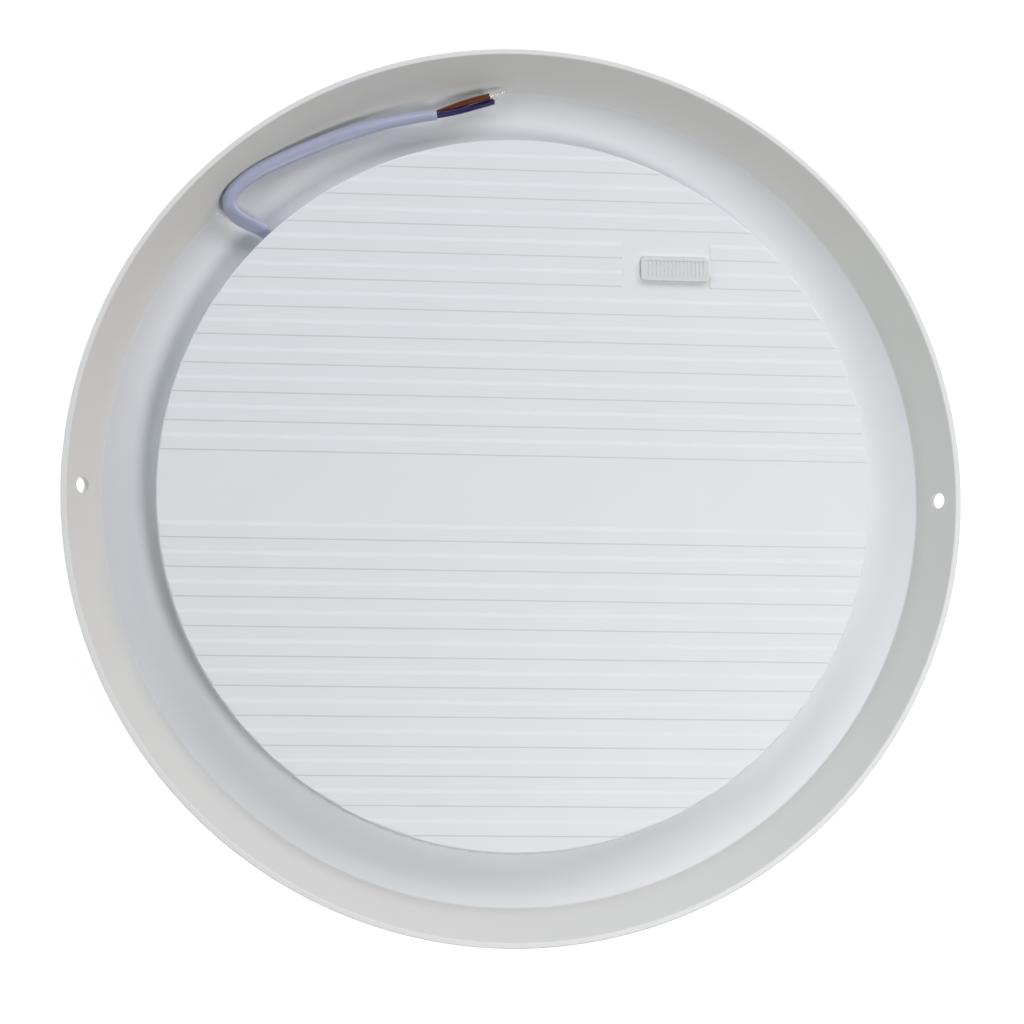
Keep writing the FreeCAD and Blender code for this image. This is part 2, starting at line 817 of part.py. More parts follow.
def make_output_connector():
    """Low plug-in connector with a mouth for three wires on its near side."""
    body = board_block("output_connector", "mouth_corner")
    side = "(output_connector_length / 2 - mouth_side)"
    mouth = rectangle(f"output_connector_x - {side}", f"{BOARD_TOP} + mouth_sill",
                      f"output_connector_x + {side}", f"{BOARD_TOP} + output_connector_height - mouth_side")
    face = "-(output_connector_y - output_connector_width / 2)"
    cut(body, outlines(body, "XZ_Plane", [mouth], face), "mouth_depth")


def make_driver_chip():
    """Small-outline chip with four leads on each long side."""
    body = board_block("driver_chip")
    span = "(driver_chip_width + 2 * chip_pin_reach)"
    leads = [centred(f"driver_chip_x + {step} * chip_pin_pitch", "driver_chip_y", "chip_pin_width", span)
             for step in (-1.5, -0.5, 0.5, 1.5)]
    grow(body, outlines(body, "XY_Plane", leads, BOARD_TOP), "chip_pin_thickness")


def make_tabbed_chip(label, name):
    """A moulded chip part with a metal tab at each end."""
    body = board_block(label)
    tab = centred(f"{label}_x", f"{label}_y", f"({label}_length + 2 * {name}_tab_reach)", f"{name}_tab_width")
    grow(body, outlines(body, "XY_Plane", [tab], BOARD_TOP), "tab_thickness")


def make_chip_resistors():
    """Eight surface-mount resistors, as separate solids in one group."""
    loops = [centred(str(x), str(y), "resistor_length", "resistor_width") for x, y in RESISTOR_PLACES]
    block("chip_resistors", loops, BOARD_TOP, "resistor_height")


def make_film_capacitor():
    body = board_block("film_capacitor", "film_corner")
    top = value(f"{BOARD_TOP} + film_capacitor_height")
    names = edges_where(body.Shape, lambda middle, edge: abs(middle.z - top) < TOLERANCE)
    round_over(body, names, "film_edge_round")


def lying_part(label, profile):
    """A part turned about its own axis, then laid along X on the board."""
    body = new_body(label)
    turned(body, profile)
    x, y, axis_height = LYING_PARTS[label]
    centre = FreeCAD.Vector(x, y, value(BOARD_TOP) + axis_height)
    along_x = FreeCAD.Rotation(FreeCAD.Vector(0, 1, 0), 90)
    body.Placement = FreeCAD.Placement(centre, along_x)
    doc.recompute()
    return body


def make_can(label, radius, length):
    """Electrolytic capacitor: crimp groove near its foot, bevelled top."""
    lying_part(label, [
        ("0", "0"),
        (f"{radius} - can_foot_bevel", "0"),
        (radius, "can_foot_bevel"),
        (radius, "crimp_middle - crimp_half_width"),
        (f"{radius} - crimp_depth", "crimp_middle"),
        (radius, "crimp_middle + crimp_half_width"),
        (radius, f"{length} - can_top_bevel"),
        (f"{radius} - can_top_bevel", length),
        ("0", length),
    ])


def make_fuse_resistor():
    """Axial fusible resistor, fatter at its end caps."""
    cap_end = "fuse_cap_length"
    far_cap = "(fuse_length - fuse_cap_length)"
    lying_part("fuse_resistor", [
        ("0", "0"),
        ("fuse_cap_radius - fuse_cap_bevel", "0"),
        ("fuse_cap_radius", "fuse_cap_bevel"),
        ("fuse_cap_radius", cap_end),
        ("fuse_radius", f"{cap_end} + fuse_cap_taper"),
        ("fuse_radius", f"{far_cap} - fuse_cap_taper"),
        ("fuse_cap_radius", far_cap),
        ("fuse_cap_radius", "fuse_length - fuse_cap_bevel"),
        ("fuse_cap_radius - fuse_cap_bevel", "fuse_length"),
        ("0", "fuse_length"),
    ])


def make_varistor():
    """Disc varistor standing on the board, with rounded edges."""
    body = lying_part("varistor", [
        ("0", "0"),
        ("varistor_radius", "0"),
        ("varistor_radius", "varistor_thickness"),
        ("0", "varistor_thickness"),
    ])
    shape = body.Tip.Shape
    radius = value("varistor_radius")
    names = ring_edges(shape, radius, 0) + ring_edges(shape, radius, value("varistor_thickness"))
    round_over(body, names, "varistor_round")


def at_transformer(body):
    """Move a piece that was drawn about the transformer's own middle to its place."""
    body.Placement.Base = FreeCAD.Vector(
        value("transformer_x"), value("transformer_y"), value("transformer_z"))
    doc.recompute()


def square_tube(body, length, outer, inner, middle="0"):
    """Add a tube of rectangular section along X, from outer and inner widths and heights."""
    start = f"{middle} - {length} / 2"
    loops = [centred("0", "0", *outer), centred("0", "0", *inner)]
    grow(body, outlines(body, "YZ_Plane", loops, start), length)


def make_transformer():
    """Two E-shaped ferrite halves, a flanged bobbin on the middle leg and its winding."""
    core = new_body("transformer_core")
    foot = "-core_thickness / 2"
    windows = [centred("0", f"{side} * core_window_y", "core_window_length", "core_window_width")
               for side in (1, -1)]
    outline = centred("0", "0", "core_length", "core_width")
    grow(core, outlines(core, "XY_Plane", [outline] + windows, foot), "core_thickness")
    gap = centred("0", "0", "core_gap", "(core_width + 2 * core_gap)")
    cut(core, outlines(core, "XY_Plane", [gap], foot), "core_thickness", upward=True)
    at_transformer(core)

    winding = new_body("transformer_winding")
    square_tube(winding, "winding_length", ("winding_width", "winding_height"),
                ("winding_inner_width", "winding_inner_height"))
    at_transformer(winding)

    bobbin = new_body("transformer_bobbin")
    bore = ("bobbin_inner_width", "bobbin_inner_height")
    square_tube(bobbin, "bobbin_length", ("bobbin_width", "bobbin_height"), bore)
    for side in (-1, 1):
        middle = f"{side} * (bobbin_length - flange_thickness) / 2"
        square_tube(bobbin, "flange_thickness", ("flange_width", "flange_height"), bore, middle)
    at_transformer(bobbin)


# ------------------------------------------------------------- selector switch

def switch_pins():
    """Places of the four contacts, in one row across the switch's base."""
    return [(f"{SWITCH_X} + {step} * contact_pitch", "knob_y") for step in (-1.5, -0.5, 0.5, 1.5)]


def make_switch_shell():
    """Folded metal can, open below, with a window for the lever."""
    outline = centred(SWITCH_X, "knob_y", "can_length", "can_width")
    body = block("switch_shell", [outline], BOARD_TOP, "can_height")
    round_uprights(body, "can_wall")
    hollow = centred(SWITCH_X, "knob_y", "(can_length - 2 * can_wall)", "(can_width - 2 * can_wall)")
    cut(body, outlines(body, "XY_Plane", [hollow], BOARD_TOP), "can_height - can_wall", upward=True)
    window = centred(SWITCH_X, "knob_y", "(lever_length + selector_travel + 2 * slot_play)",
                     "(lever_width + 2 * slot_play)")
    top = f"{BOARD_TOP} + can_height"
    cut(body, outlines(body, "XY_Plane", [window], top), "2 * can_wall")


def make_switch_base():
    """Insulating base inside the can, with a row of holes for the contacts' pins."""
    outline = centred(SWITCH_X, "knob_y", "(can_length - 2 * can_wall - 2 * base_play)",
                      "(can_width - 2 * can_wall - 2 * base_play)")
    body = block("switch_base", [outline], BOARD_TOP, "base_height")
    holes = circles(body, "XY_Plane", switch_pins(), ["pin_radius + base_play"], BOARD_TOP)
    cut(body, holes, "base_height", upward=True)


def make_switch_contacts():
    """Four flat contacts on the base, each with a pin down through the board."""
    face = f"{BOARD_TOP} + base_height"
    loops = [centred(x, y, "contact_length", "contact_width") for x, y in switch_pins()]
    body = block("switch_contacts", loops, face, "contact_lift")
    pins = circles(body, "XY_Plane", switch_pins(), ["pin_radius"], "pin_foot")
    grow(body, pins, f"{face} - pin_foot + contact_lift / 2")


def make_switch_slider():
    """Sliding block in the can, with the lever that stands up into the knob."""
    outline = centred("knob_x", "knob_y", "slider_length", "slider_width")
    body = block("switch_slider", [outline], "slider_foot", "slider_top - slider_foot")
    lever = centred("knob_x", "knob_y", "lever_length", "lever_width")
    grow(body, outlines(body, "XY_Plane", [lever], "slider_top"), "lever_top - slider_top")


def make_switch_wiper():
    """Strip under the slider that bridges two neighbouring contacts."""
    loops = [centred("knob_x", "knob_y", "wiper_length", "wiper_width")]
    block("switch_wiper", loops, "slider_foot - wiper_thickness", "wiper_thickness")


def make_selector_knob():
    """Ribbed plate outside the housing, with a stem and two barbs under the slot."""
    foot = f"({RIB_FOOT} + knob_gap)"
    top = f"({foot} + knob_thickness)"
    plate = centred("knob_x", "knob_y", "knob_length", "knob_width")
    body = block("selector_knob", [plate], foot, "knob_thickness")
    round_uprights(body, "knob_corner")
    face = value(top)
    names = edges_where(body.Shape, lambda middle, edge: abs(middle.z - face) < TOLERANCE)
    round_over(body, names, "knob_edge_round")
    field = centred("knob_x", "knob_y", "(knob_length - 2 * knob_border)",
                    "(knob_width - 2 * knob_border)")
    cut(body, outlines(body, "XY_Plane", [field], top), "field_sink")
    grooves = []
    for step in range(SIZES["ridge_count"]):
        offset = step - (SIZES["ridge_count"] - 1) / 2
        grooves.append(centred(f"knob_x + {offset} * ridge_pitch", "knob_y", "ridge_gap",
                               "(knob_width - 2 * knob_border)"))
    cut(body, outlines(body, "XY_Plane", grooves, top), "ridge_depth")
    stem = centred("knob_x", "knob_y", "stem_length", "stem_width")
    grow(body, outlines(body, "XY_Plane", [stem], "stem_foot"), f"{foot} - stem_foot")
    barbs = [centred("knob_x", f"knob_y + {side} * (stem_width / 2 + barb_reach) / 2",
                     "stem_length - 1", "(barb_reach - stem_width / 2)") for side in (1, -1)]
    grow(body, outlines(body, "XY_Plane", barbs, "barb_top - barb_height"), "barb_height")
    socket = centred("knob_x", "knob_y", "(lever_length + 2 * socket_play)",
                     "(lever_width + 2 * socket_play)")
    cut(body, outlines(body, "XY_Plane", [socket], "stem_foot"), "socket_top - stem_foot", upward=True)


# ------------------------------------------------------------------ cord and wires

def exit_placement():
    """Local +X points outward along the cord's exit, at the exit's height."""
    turn = FreeCAD.Rotation(FreeCAD.Vector(0, 0, 1), value("exit_angle"))
    return FreeCAD.Placement(FreeCAD.Vector(0, 0, value("exit_height")), turn)


def make_grommet():
    """Bush in the drum's side wall: flush outside, with a flange inside."""
    body = new_body("cord_grommet")
    turned(body, [
        ("grommet_bore", "grommet_back"),
        ("grommet_flange - grommet_bevel", "grommet_back"),
        ("grommet_flange", "grommet_back + grommet_bevel"),
        ("grommet_flange", "grommet_seat"),
        ("grommet_neck", "grommet_seat"),
        ("grommet_neck", "grommet_face"),
        ("grommet_bore", "grommet_face"),
    ])
    outward = FreeCAD.Rotation(FreeCAD.Vector(0, 1, 0), 90)
    body.Placement = exit_placement() * FreeCAD.Placement(FreeCAD.Vector(), outward)
    doc.recompute()


def make_cord_clamp():
    """Bar screwed up under the cord, with a trough that grips the sheath."""
    body = new_body("cord_clamp")
    foot = "clamp_foot - exit_height"
    height = "clamp_top - clamp_foot"
    bar = centred("clamp_reach", "0", "clamp_width", "clamp_length")
    grow(body, outlines(body, "XY_Plane", [bar], foot), height)
    round_uprights(body, "clamp_corner")
    face = "clamp_reach - clamp_width / 2"
    trough = circles(body, "YZ_Plane", [("0", "0")], ["cord_radius + slot_play / 2"], face)
    cut(body, trough, "clamp_width", upward=True)
    holes = [("clamp_reach", "clamp_screw_offset"), ("clamp_reach", "-clamp_screw_offset")]
    cut(body, circles(body, "XY_Plane", holes, ["screw_clearance"], foot), height, upward=True)
    body.Placement = exit_placement()
    doc.recompute()


def rounded_path(points):
    """Straight runs joined by tangent arcs, each as large as its two runs allow."""
    corners = [FreeCAD.Vector(*point) for point in points]
    edges = []
    radii = []
    start = corners[0]
    for before, corner, after in zip(corners, corners[1:], corners[2:]):
        back = before - corner
        ahead = after - corner
        shorter = min(back.Length, ahead.Length)
        half_turn = (math.pi - back.getAngle(ahead)) / 2
        radius = ARC_SHARE * shorter / math.tan(half_turn)
        radii.append(radius)
        back.normalize()
        ahead.normalize()
        enter = corner + back * ARC_SHARE * shorter
        leave = corner + ahead * ARC_SHARE * shorter
        inward = back + ahead
        inward.normalize()
        middle = corner + inward * (radius / math.cos(half_turn) - radius)
        edges.append(Part.LineSegment(start, enter).toShape())
        edges.append(Part.Arc(enter, middle, leave).toShape())
        start = leave
    edges.append(Part.LineSegment(start, corners[-1]).toShape())
    return Part.Wire(edges), radii


def tube(points, radius):
    """A round solid along a rounded path. Its volume is compared with section times length."""
    wire, radii = rounded_path(points)
    start = FreeCAD.Vector(*points[0])
    heading = FreeCAD.Vector(*points[1]) - start
    ring = Part.Wire([Part.Circle(start, heading, radius).toShape()])
    solid = wire.makePipeShell([ring], True, True)
    expected = math.pi * radius ** 2 * wire.Length
    if abs(solid.Volume - expected) > VOLUME_TOLERANCE * expected:
        raise RuntimeError(f"tube volume {solid.Volume:.1f}, expected {expected:.1f}")
    return solid, wire.Length, radii


def tube_feature(label, routes, radius_name):
    """A named part made of one tube for each route."""
    radius = value(radius_name)
    solids = []
    for route in routes:
        solid, length, radii = tube(route, radius)
        solids.append(solid)
        print(f"{label}: length {length:.1f}, radii", [round(r, 1) for r in radii])
    item = doc.addObject("Part::Feature", label)
    item.Label = label
    item.Shape = solids[0] if len(solids) == 1 else Part.makeCompound(solids)


def exit_point(reach, sideways=0.0, drop=0.0):
    """A point on the cord's inner line, at a distance from the light's axis."""
    return tuple(exit_placement().multVec(FreeCAD.Vector(reach, sideways, -drop)))


def make_cord_tail():
    """The held end of the cord: sheath through grommet and clamp, then two cores to the terminal."""
    sheath_end = value("tail_end")
    core_offset = value("core_offset")
    tail = [exit_point(value("grommet_face")), exit_point(sheath_end)]
    tube_feature("cord_tail", [tail], "cord_radius")
    way_x = value("input_terminal_x - input_terminal_length / 2 + way_depth") - 1.5
    way_z = value(f"{BOARD_TOP} + way_height")
    for label, side in (("tail_brown_core", -1), ("tail_blue_core", 1)):
        way_y = value("input_terminal_y - pole_offset" if side > 0 else "input_terminal_y + pole_offset")
        route = [
            exit_point(sheath_end, side * core_offset),
            exit_point(sheath_end - 8, side * 1.6, 0.3),
            (-48.0, way_y + 1.5, 25.2),
            (-34.0, way_y, way_z + 0.3),
            (way_x, way_y, way_z),
        ]
        tube_feature(label, [route], "core_radius")


def make_free_cord():
    tube_feature("supply_cord", [CORD_ROUTE], "cord_radius")
    tube_feature("brown_core", [BROWN_ROUTE], "core_radius")
    tube_feature("blue_core", [BLUE_ROUTE], "core_radius")
    tube_feature("brown_strands", [BROWN_STRANDS], "strand_radius")
    tube_feature("blue_strands", [BLUE_STRANDS], "strand_radius")


def make_led_connector():
    """Three-way connector on the front of the LED board."""
    body = new_body("led_connector")
    outline = centred("lead_hole_x", "led_plug_y", "led_plug_length", "led_plug_width")
    sketch = outlines(body, "XY_Plane", [outline], LED_BOARD_FOOT)
    grow(body, sketch, "led_plug_height", downward=True)
    round_uprights(body, "led_plug_corner")
    ways = [(f"lead_hole_x + {step} * lead_pitch", LED_PLUG_AXIS) for step in (-1, 0, 1)]
    face = "-(led_plug_y - led_plug_width / 2)"
    sketch = circles(body, "XZ_Plane", ways, ["lead_radius + socket_play"], face)
    cut(body, sketch, "led_plug_depth")


def make_led_leads():
    """Three leads from the LED board, up through the gear plate, to the driver board."""
    low = value(LED_PLUG_AXIS)
    high = value(f"{BOARD_TOP} + way_height")
    hole_y = value("lead_hole_y")
    plug_y = value("led_plug_y - led_plug_width / 2")
    socket_y = value("output_connector_y - output_connector_width / 2")
    routes = []
    for step in (-1, 0, 1):
        x = value("lead_hole_x") + step * value("lead_pitch")
        routes.append([
            (x, plug_y - 2.7, low),
            (x, hole_y + 3.6, low),
            (x, hole_y + 0.4, low + 2.3),
            (x, hole_y - 0.6, (low + high) / 2),
            (x, hole_y + 0.4, high - 2.3),
            (x, hole_y + 3.6, high),
            (x, socket_y + 1.5, high),
        ])
    tube_feature("led_leads", routes, "lead_radius")


# ---------------------------------------------------------------------- build

def build_everything():
    make_rear_housing()
    make_diffuser()
    make_seal()
    make_gear_plate()
    make_led_board()
    make_leds("warm_leds", "warm_ring", 0)
    make_leds("cool_leds", "cool_ring", 360 / SIZES["led_count"] / 2)
    make_screws("gear_plate_screws", GEAR_BOSSES, "plate_foot",
                "plate_head_radius", "plate_head_height", "screw_length")
    make_screws("led_board_screws", LED_BOARD_SCREWS, LED_BOARD_FOOT,
                "screw_head_radius", "screw_head_height", "screw_length / 2")
    make_screws("driver_board_screws", DRIVER_BOSSES, "board_foot",
                "screw_head_radius", "screw_head_height", "screw_length")
    make_screws("cord_clamp_screws", CLAMP_POSTS, "clamp_foot",
                "screw_head_radius", "screw_head_height", "screw_length + 1")
    make_insulation_sheet()
    make_driver_board()
    make_input_terminal()
    make_output_connector()
    make_film_capacitor()
    make_driver_chip()
    make_tabbed_chip("bridge_rectifier", "rectifier")
    make_tabbed_chip("output_diode", "diode")
    make_chip_resistors()
    make_can("bulk_capacitor", "bulk_radius", "bulk_length")
    make_can("output_capacitor", "output_radius", "output_length")
    make_fuse_resistor()
    make_varistor()
    make_transformer()
    make_switch_shell()
    make_switch_base()
    make_switch_contacts()
    make_switch_slider()
    make_switch_wiper()
    make_selector_knob()
    make_grommet()
    make_cord_clamp()
    make_cord_tail()
    make_free_cord()
    make_led_connector()
    make_led_leads()
    doc.recompute()


def sub_parts():
    """Every body and every free-standing shape, which are the light's separate pieces."""
    return [item for item in doc.Objects if item.TypeId in ("PartDesign::Body", "Part::Feature")]


def check_model(parts):
    for item in doc.Objects:
        if "Invalid" in item.State or "Error" in item.State:
            raise RuntimeError(f"{item.Label} did not build: {item.State}")
    for part in parts:
        if part.Shape.isNull() or not part.Shape.isValid() or not part.Shape.Solids:
            raise RuntimeError(f"{part.Label} has no valid solid")


build_everything()
pieces = sub_parts()
check_model(pieces)
for piece in pieces:
    piece.Shape.exportStep(f"parts/{piece.Label}.step")
    print(f"{piece.Label}: {len(piece.Shape.Solids)} solids, {piece.Shape.Volume:.1f} mm3")
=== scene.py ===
import json
import math
import random

import bmesh
import bpy
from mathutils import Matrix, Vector


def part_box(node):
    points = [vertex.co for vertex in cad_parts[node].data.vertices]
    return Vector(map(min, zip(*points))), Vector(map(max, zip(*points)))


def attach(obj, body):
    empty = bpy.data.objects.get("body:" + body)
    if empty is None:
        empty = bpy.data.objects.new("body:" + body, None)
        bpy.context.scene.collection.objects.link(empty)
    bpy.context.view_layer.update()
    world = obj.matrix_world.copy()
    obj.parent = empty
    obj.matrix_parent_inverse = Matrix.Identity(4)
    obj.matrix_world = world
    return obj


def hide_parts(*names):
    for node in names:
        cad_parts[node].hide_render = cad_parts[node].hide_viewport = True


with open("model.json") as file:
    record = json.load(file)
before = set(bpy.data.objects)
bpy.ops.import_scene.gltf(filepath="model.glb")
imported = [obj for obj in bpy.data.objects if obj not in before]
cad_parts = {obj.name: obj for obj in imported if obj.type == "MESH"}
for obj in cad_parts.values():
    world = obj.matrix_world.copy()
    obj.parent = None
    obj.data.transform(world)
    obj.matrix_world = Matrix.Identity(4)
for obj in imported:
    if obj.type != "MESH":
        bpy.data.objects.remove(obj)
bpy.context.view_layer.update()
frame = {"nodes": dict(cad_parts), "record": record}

# A round white LED ceiling light, lying on its opal face with its ribbed rear side up.
# Lengths are in metres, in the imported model's own frame: the origin is the middle of the
# opal face and +Z is up.

MM = 0.001
NODES = frame["nodes"]
HOUSING = "housing"


# ---------------------------------------------------------------- camera

# The place and the clip distances are in metres, the turn is in radians, and the lens and
# the sensor are in millimetres.
CAMERA_PLACE = (-0.0795, -0.0856, 0.85)
CAMERA_TURN = (0.0948, -0.0954, 0.0087)
CAMERA_LENS = 87.4
SENSOR_WIDTH = 36.0
CLIP_NEAR = 0.01
CLIP_FAR = 60.0


def add_object(name, data):
    item = bpy.data.objects.new(name, data)
    bpy.context.scene.collection.objects.link(item)
    return item


def make_camera():
    data = bpy.data.cameras.new("camera")
    data.lens = CAMERA_LENS
    data.sensor_width = SENSOR_WIDTH
    data.clip_start = CLIP_NEAR
    data.clip_end = CLIP_FAR
    camera = add_object("camera", data)
    camera.location = CAMERA_PLACE
    camera.rotation_euler = CAMERA_TURN
    bpy.context.scene.camera = camera


# ---------------------------------------------------------------- node tools

# Every material made here, by the name it was asked for.
MATERIALS = {}
# Metres between the bands of a wave texture whose scale is 1.
WAVE_PITCH = 0.314


class Graph:
    """Short names for building one material's node tree."""

    def __init__(self, name):
        self.material = bpy.data.materials.new(name)
        self.material.use_nodes = True
        MATERIALS[name] = self.material
        self.nodes = self.material.node_tree.nodes
        self.links = self.material.node_tree.links
        self.shader = self.nodes["Principled BSDF"]
        self.place = self.nodes.new("ShaderNodeTexCoord").outputs["Object"]

    def link(self, source, target):
        self.links.new(source, target)

    def settle(self, **values):
        """Sets sockets of the shader that are the same all over."""
        for name, value in values.items():
            self.shader.inputs[name.replace("_", " ")].default_value = value

    def drive(self, colour=None, roughness=None, normal=None):
        for name, source in (("Base Color", colour), ("Roughness", roughness), ("Normal", normal)):
            if source is not None:
                self.link(source, self.shader.inputs[name])

    def stretched(self, stretch):
        if stretch is None:
            return self.place
        node = self.nodes.new("ShaderNodeMapping")
        node.inputs["Scale"].default_value = stretch
        self.link(self.place, node.inputs["Vector"])
        return node.outputs["Vector"]

    def noise(self, size, detail=2.0, roughness=0.5, stretch=None):
        """Noise whose blotches are about `size` metres across."""
        node = self.nodes.new("ShaderNodeTexNoise")
        node.inputs["Scale"].default_value = 1.0 / size
        node.inputs["Detail"].default_value = detail
        node.inputs["Roughness"].default_value = roughness
        self.link(self.stretched(stretch), node.inputs["Vector"])
        return node.outputs["Fac"]

    def cells(self, size, feature="F1", stretch=None):
        node = self.nodes.new("ShaderNodeTexVoronoi")
        node.feature = feature
        node.inputs["Scale"].default_value = 1.0 / size
        self.link(self.stretched(stretch), node.inputs["Vector"])
        return node.outputs["Distance"]

    def bands(self, size, axis="X", distortion=0.0):
        """Soft parallel bands about `size` metres apart."""
        node = self.nodes.new("ShaderNodeTexWave")
        node.bands_direction = axis
        node.inputs["Scale"].default_value = WAVE_PITCH / size
        node.inputs["Distortion"].default_value = distortion
        self.link(self.place, node.inputs["Vector"])
        return node.outputs["Fac"]

    def axis(self, name):
        node = self.nodes.new("ShaderNodeSeparateXYZ")
        self.link(self.place, node.inputs["Vector"])
        return node.outputs[name]

    def radius(self):
        """Distance from the part's vertical axis."""
        node = self.nodes.new("ShaderNodeVectorMath")
        node.operation = "LENGTH"
        self.link(self.stretched((1.0, 1.0, 0.0)), node.inputs["Vector"])
        return node.outputs["Value"]

    def spread(self, source, low, high, start=0.3, end=0.7):
        """Maps start..end of the source onto low..high."""
        node = self.nodes.new("ShaderNodeMapRange")
        node.inputs["From Min"].default_value = start
        node.inputs["From Max"].default_value = end
        node.inputs["To Min"].default_value = low
        node.inputs["To Max"].default_value = high
        self.link(source, node.inputs["Value"])
        return node.outputs["Result"]

    def blend(self, factor, first, second):
        node = self.nodes.new("ShaderNodeMix")
        node.data_type = "RGBA"
        self.link(factor, node.inputs["Factor"])
        for value, socket in ((first, node.inputs["A"]), (second, node.inputs["B"])):
            if isinstance(value, bpy.types.NodeSocket):
                self.link(value, socket)
            else:
                socket.default_value = (*value, 1.0)
        return node.outputs["Result"]

    def multiplied(self, first, second):
        node = self.nodes.new("ShaderNodeMix")
        node.data_type = "RGBA"
        node.blend_type = "MULTIPLY"
        node.inputs["Factor"].default_value = 1.0
        self.link(first, node.inputs["A"])
        self.link(second, node.inputs["B"])
        return node.outputs["Result"]

    def bump(self, height, distance, under=None):
        node = self.nodes.new("ShaderNodeBump")
        node.inputs["Distance"].default_value = distance
        self.link(height, node.inputs["Height"])
        if under is not None:
            self.link(under, node.inputs["Normal"])
        return node.outputs["Normal"]


# ---------------------------------------------------------------- materials

# Distances from the axis over which the housing's painted shade changes: from the drum to the
# trough, from the trough to the skirt's slope, and from the slope to the lip.
DRUM_EDGE = (118.9 * MM, 119.6 * MM)
SKIRT_FOOT = (137.2 * MM, 137.9 * MM)
SKIRT_TOP = (147.9 * MM, 148.4 * MM)
# Heights above the lowest point of an LED between which its window gives way to its body.
LED_WINDOW = (0.04 * MM, 0.12 * MM)


def shade(colour, share):
    return tuple(min(1.0, c * share) for c in colour)


def mottled(g, factor, colour, amount):
    """A colour that drifts a little darker and lighter with the factor."""
    return g.blend(g.spread(factor, 0.0, 1.0),
                   shade(colour, 1.0 - amount), shade(colour, 1.0 + amount))


def moulded(name, colour, roughness=0.45, grain=0.35 * MM, depth=0.01 * MM, mottle=0.02,
            patch=18 * MM, **settings):
    """Moulded plastic or rubber: fine eroded grain, with a faint mottle of colour and gloss."""
    g = Graph(name)
    patches = g.noise(patch, detail=3.0)
    fine = g.noise(grain, detail=3.0, roughness=0.6)
    g.drive(mottled(g, patches, colour, mottle),
            g.spread(fine, roughness - 0.05, roughness + 0.05), g.bump(fine, depth))
    g.settle(**settings)
    return g


def housing_plastic(name, face, trough, slope_shade, lip_shade):
    """The rear housing: satin plastic, with painted shade on the trough, the skirt's slope and the
    lip.
    """
    g = moulded(name, face, 0.5, 0.3 * MM, 0.006 * MM, 0.008, Specular_IOR_Level=0.35)
    smooth = g.shader.inputs["Base Color"].links[0].from_socket
    out = g.radius()
    # Painted shade: the trough and the skirt's slope are drawn darker than the drum's face, the
    # lip a little warmer.
    painted_shade = g.blend(g.spread(out, 0.0, 1.0, *DRUM_EDGE), (1.0, 1.0, 1.0), trough)
    painted_shade = g.blend(g.spread(out, 0.0, 1.0, *SKIRT_FOOT), painted_shade, slope_shade)
    painted_shade = g.blend(g.spread(out, 0.0, 1.0, *SKIRT_TOP), painted_shade, lip_shade)
    g.drive(g.multiplied(smooth, painted_shade))


def plated(name, colour, roughness=0.3, stretch=(1.0, 1.0, 1.0), marks_size=0.12 * MM):
    """Plated, drawn or rolled metal, with fine marks and faint dull blotches."""
    g = Graph(name)
    marks = g.noise(marks_size, detail=2.0, stretch=stretch)
    blotches = g.noise(2.5 * MM, detail=4.0)
    g.drive(g.blend(g.spread(blotches, 0.0, 1.0), shade(colour, 0.85), colour),
            g.spread(marks, roughness - 0.08, roughness + 0.1), g.bump(marks, 0.004 * MM))
    g.settle(Metallic=1.0)


def painted(name, colour, roughness=0.4):
    """Powder coat or solder mask: a low orange-peel skin with small specks."""
    g = Graph(name)
    peel = g.cells(0.7 * MM, "SMOOTH_F1")
    specks = g.noise(0.25 * MM, detail=1.0)
    g.drive(g.blend(g.spread(specks, 0.0, 1.0, 0.62, 0.78), colour, shade(colour, 0.94)),
            g.spread(peel, roughness - 0.06, roughness + 0.06, 0.0, 0.6), g.bump(peel, 0.01 * MM))


def opal(name, colour):
    """Opal diffuser: light wanders inside it, and its outside is smooth with a fine satin."""
    g = moulded(name, colour, roughness=0.3, grain=0.2 * MM, depth=0.002 * MM, mottle=0.004)
    g.settle(Subsurface_Weight=0.35, Subsurface_Scale=3 * MM, Subsurface_Radius=(1.0, 0.95, 0.9),
             Coat_Weight=0.15, Coat_Roughness=0.2)


def foam(name, colour):
    """Closed-cell foam: small open cells over the whole surface, with painted shade in each cell's
    hollow.
    """
    g = Graph(name)
    cells = g.cells(0.5 * MM)
    # Painted shade: each cell's hollow is drawn darker.
    g.drive(g.blend(g.spread(cells, 0.0, 1.0, 0.0, 0.5), shade(colour, 0.75), colour),
            g.spread(cells, 0.95, 0.75, 0.0, 0.5), g.bump(cells, 0.15 * MM))


def led_package(name, phosphor, body_colour=(0.9, 0.9, 0.88)):
    """White package whose round window, the lowest part of it, holds phosphor."""
    g = Graph(name)
    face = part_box("warm_leds")[0].z
    window = g.spread(g.axis("Z"), 1.0, 0.0, face + LED_WINDOW[0], face + LED_WINDOW[1])
    grains = g.noise(0.15 * MM, detail=3.0)
    gel = g.blend(g.spread(grains, 0.0, 1.0), shade(phosphor, 0.85), phosphor)
    g.drive(g.blend(window, body_colour, gel),
            g.spread(window, 0.45, 0.2, 0.0, 1.0), g.bump(grains, 0.01 * MM))


def circuit_board(name, mask, copper_shade):
    """Solder mask over tracks: wide blocky islands of copper show paler, with a glassy weave."""
    g = Graph(name)
    islands = g.cells(6 * MM, "DISTANCE_TO_EDGE", stretch=(1.0, 1.6, 1.0))
    tracks = g.spread(islands, 0.0, 1.0, 0.035, 0.05)
    weave = g.cells(0.6 * MM, "SMOOTH_F1")
    g.drive(g.blend(tracks, mask, copper_shade), g.spread(weave, 0.25, 0.4, 0.0, 0.6),
            g.bump(tracks, 0.035 * MM, under=g.bump(weave, 0.004 * MM)))


